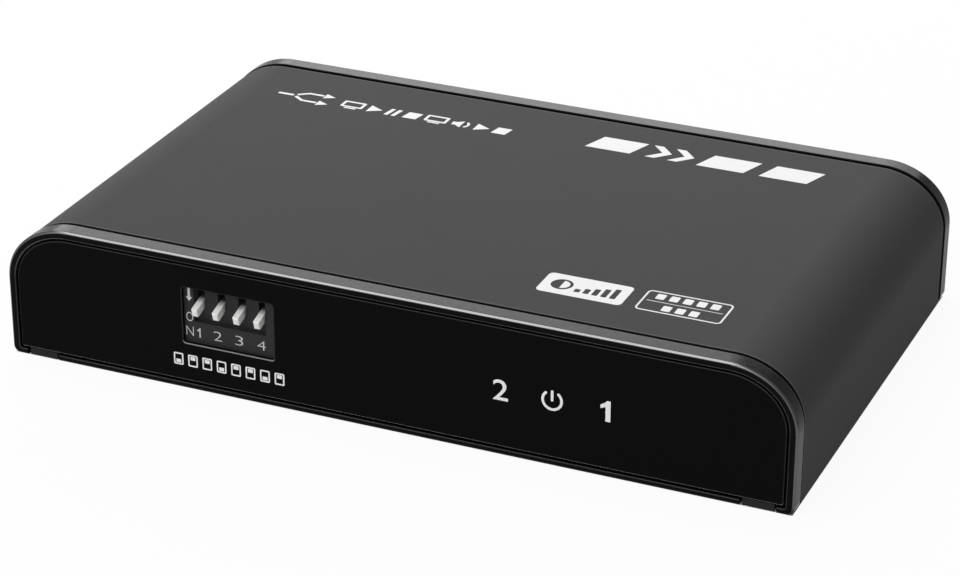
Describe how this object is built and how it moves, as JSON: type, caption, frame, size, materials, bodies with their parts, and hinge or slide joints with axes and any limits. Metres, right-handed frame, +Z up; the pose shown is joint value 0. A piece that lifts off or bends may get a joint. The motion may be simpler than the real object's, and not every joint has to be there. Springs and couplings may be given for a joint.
{
  "type": "video splitter box",
  "caption": "Low desktop box that repeats one video input on two outputs, with an arched cover, framed panels, rear sockets and a row of piano switches in front.",
  "frame": {"origin": "on the table, under the middle of the case", "axes": "+X to the right seen from the front, +Y from the front panel to the rear panel, +Z up"},
  "size_m": [0.0934, 0.0576, 0.0164],
  "materials": {
    "cover_plastic": "fine spark-eroded texture, charcoal grey",
    "base_plastic": "fine moulded texture, black",
    "bezel_plastic": "satin moulded, black",
    "panel_gloss": "gloss, back-printed black",
    "zinc_steel": "black-zinc or bright-zinc plated, satin",
    "board_laminate": "solder mask, satin green",
    "jack_plastic": "moulded, black",
    "plated_contact": "tin or nickel plated, bright",
    "switch_plastic": "glass-filled, dark grey, matt",
    "lever_plastic": "off-white, satin",
    "chip_epoxy": "moulded epoxy, matt",
    "heat_pad_silicone": "soft silicone sheet, matt",
    "bare_aluminium": "satin",
    "chip_ceramic": "fired ceramic, satin",
    "socket_steel": "nickel plated sheet, satin",
    "insert_plastic": "moulded, black, satin",
    "gold_contact": "gold plated, bright",
    "light_resin": "white housing with a yellow phosphor window",
    "guide_acrylic": "clear, polished"
  },
  "bodies": {
    "case": {"base_plate": "base_plastic", "base_screws": "zinc_steel", "board_screws": "zinc_steel", "bulk_capacitors": "bare_aluminium", "clock_crystal": "bare_aluminium", "controller_chip": "chip_epoxy", "front_bezel": "bezel_plastic", "front_panel": "panel_gloss", "heat_pad": "heat_pad_silicone", "heat_sink": "bare_aluminium", "input_socket_contacts": "gold_contact", "input_socket_insert": "insert_plastic", "input_socket_shell": "socket_steel", "main_board": "board_laminate", "memory_chips": "chip_epoxy", "output_1_light": "light_resin", "output_1_light_guide": "guide_acrylic", "output_1_socket_contacts": "gold_contact", "output_1_socket_insert": "insert_plastic", "output_1_socket_shell": "socket_steel", "output_2_light": "light_resin", "output_2_light_guide": "guide_acrylic", "output_2_socket_contacts": "gold_contact", "output_2_socket_insert": "insert_plastic", "output_2_socket_shell": "socket_steel", "power_inductor": "chip_epoxy", "power_jack_housing": "jack_plastic", "power_jack_pin": "plated_contact", "power_jack_spring": "plated_contact", "power_light": "light_resin", "power_light_guide": "guide_acrylic", "rear_bezel": "bezel_plastic", "rear_panel": "panel_gloss", "small_capacitors": "chip_ceramic", "small_resistors": "chip_ceramic", "splitter_chip": "chip_epoxy", "switch_base": "switch_plastic", "switch_housing": "switch_plastic", "switch_springs": "plated_contact", "switch_terminals": "plated_contact", "top_cover": "cover_plastic", "voltage_regulators": "chip_epoxy"},
    "lever_1": {"switch_lever_1": "lever_plastic"},
    "lever_2": {"switch_lever_2": "lever_plastic"},
    "lever_3": {"switch_lever_3": "lever_plastic"},
    "lever_4": {"switch_lever_4": "lever_plastic"}
  },
  "joints": [
    {"name": "lever_1_hinge", "type": "hinge", "parent": "case", "child": "lever_1", "pos_m": [-0.02271, -0.025, 0.011], "axis": [-1, 0, 0], "range_deg": [0, 29.3]},
    {"name": "lever_2_hinge", "type": "hinge", "parent": "case", "child": "lever_2", "pos_m": [-0.02017, -0.025, 0.011], "axis": [-1, 0, 0], "range_deg": [0, 29.3]},
    {"name": "lever_3_hinge", "type": "hinge", "parent": "case", "child": "lever_3", "pos_m": [-0.01763, -0.025, 0.011], "axis": [-1, 0, 0], "range_deg": [0, 29.3]},
    {"name": "lever_4_hinge", "type": "hinge", "parent": "case", "child": "lever_4", "pos_m": [-0.01509, -0.025, 0.011], "axis": [-1, 0, 0], "range_deg": [0, 29.3]}
  ]
}
